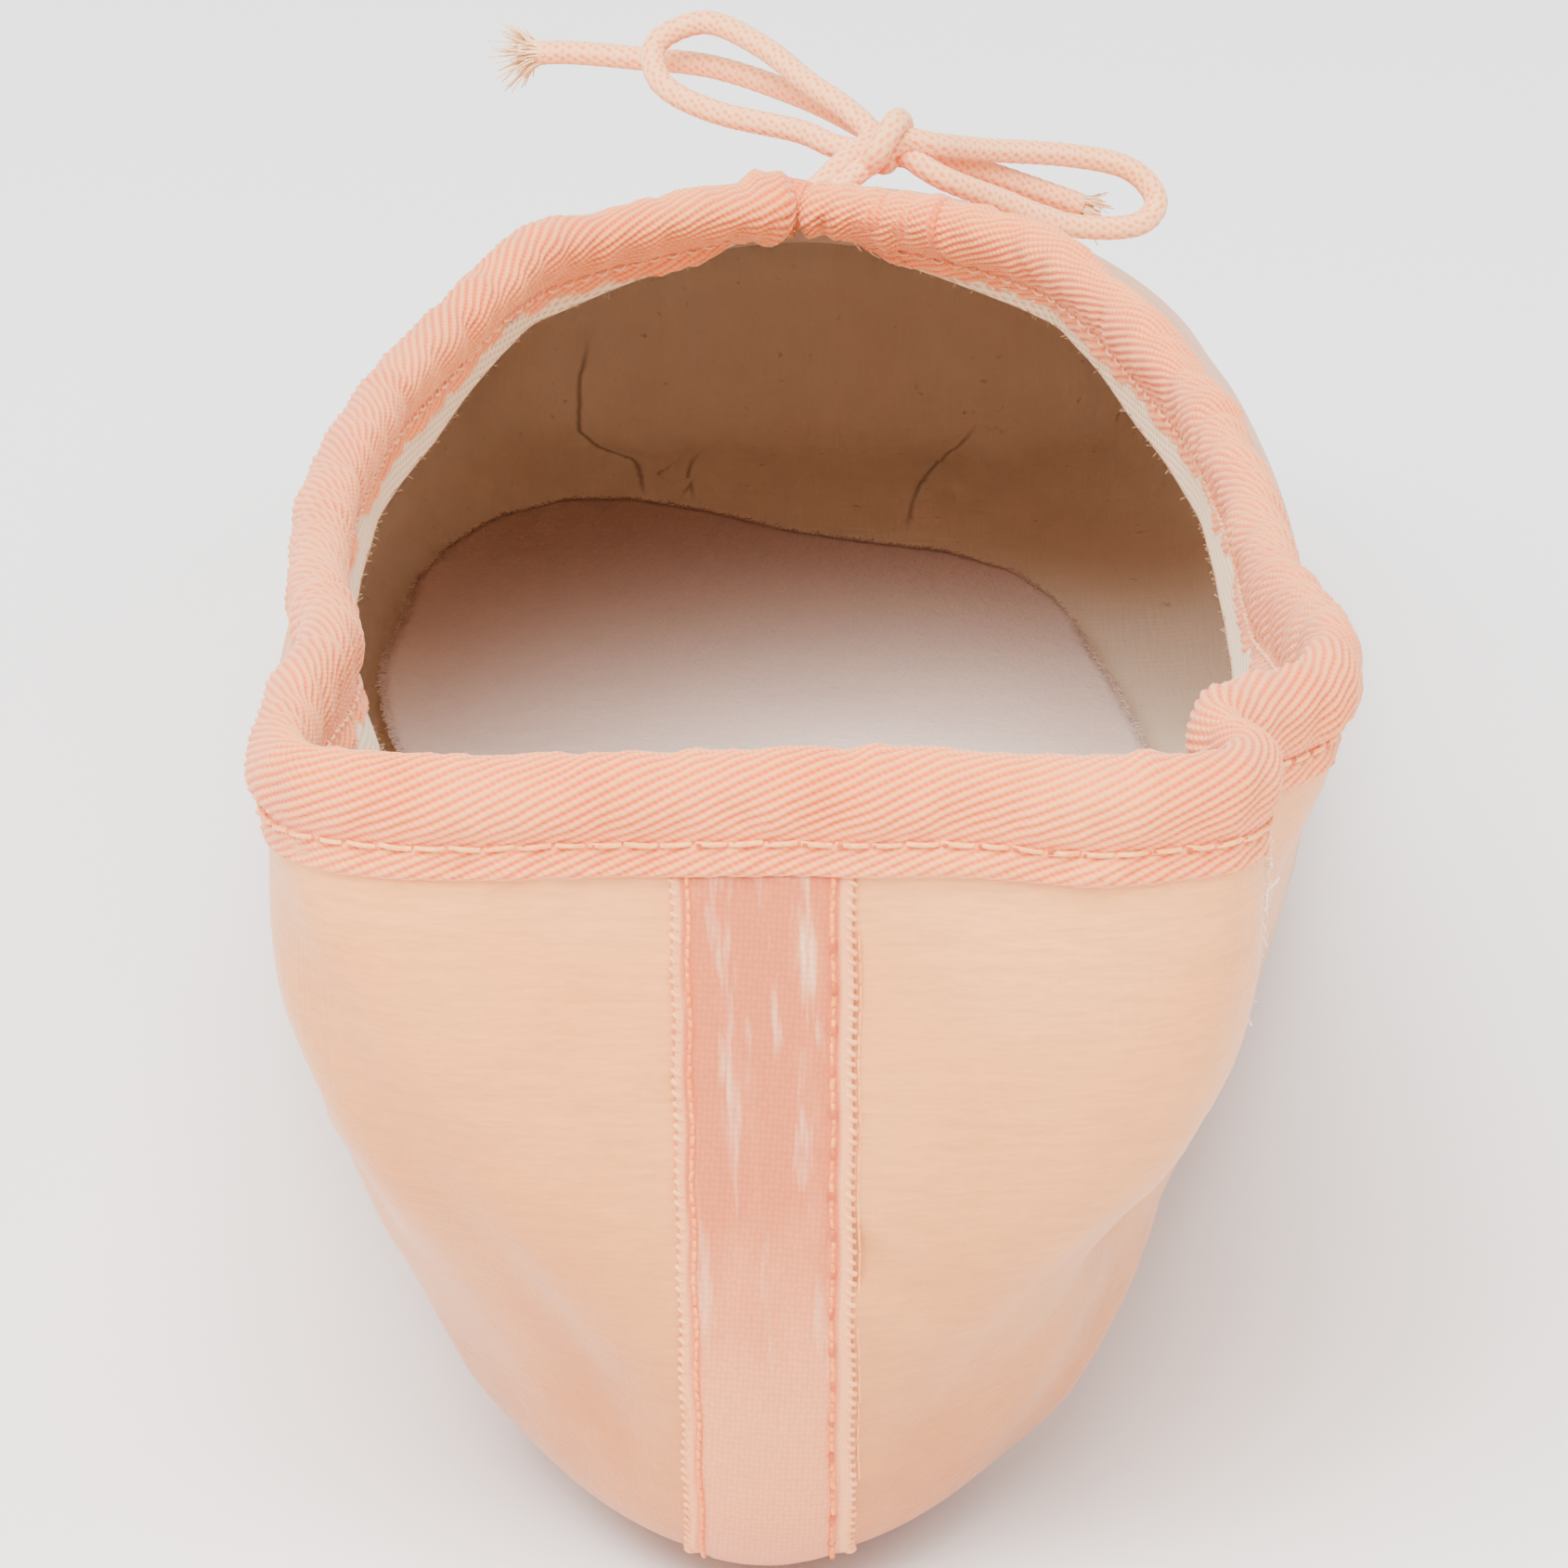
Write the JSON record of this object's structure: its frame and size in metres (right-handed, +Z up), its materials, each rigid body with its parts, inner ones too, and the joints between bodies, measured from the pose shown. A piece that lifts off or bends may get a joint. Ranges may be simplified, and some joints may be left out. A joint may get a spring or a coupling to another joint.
{
  "type": "pointe shoe",
  "caption": "Satin pointe shoe with a stiff toe box and flat platform, a bound collar with a drawstring bow, a felt insole and a small leather outsole.",
  "frame": {"origin": "on the floor, below the middle of the shoe's length and width", "axes": "+Y along the shoe towards the toe, +Z up"},
  "size_m": [0.0798, 0.2308, 0.0658],
  "materials": {
    "satin": "satin weave with a soft sheen",
    "binding_tape": "matt twill",
    "sole_leather": "natural buff leather",
    "sock_felt": "brushed felt",
    "drawstring": "matt braid",
    "lining": "plain canvas",
    "thread": "matt thread"
  },
  "bodies": {
    "root": {"upper": "satin", "binding": "binding_tape", "outsole": "sole_leather", "insole": "sock_felt", "bow_knot": "drawstring", "bow_loop_left": "drawstring", "bow_loop_right": "drawstring", "bow_end_left": "drawstring", "bow_end_right": "drawstring"}
  },
  "joints": []
}
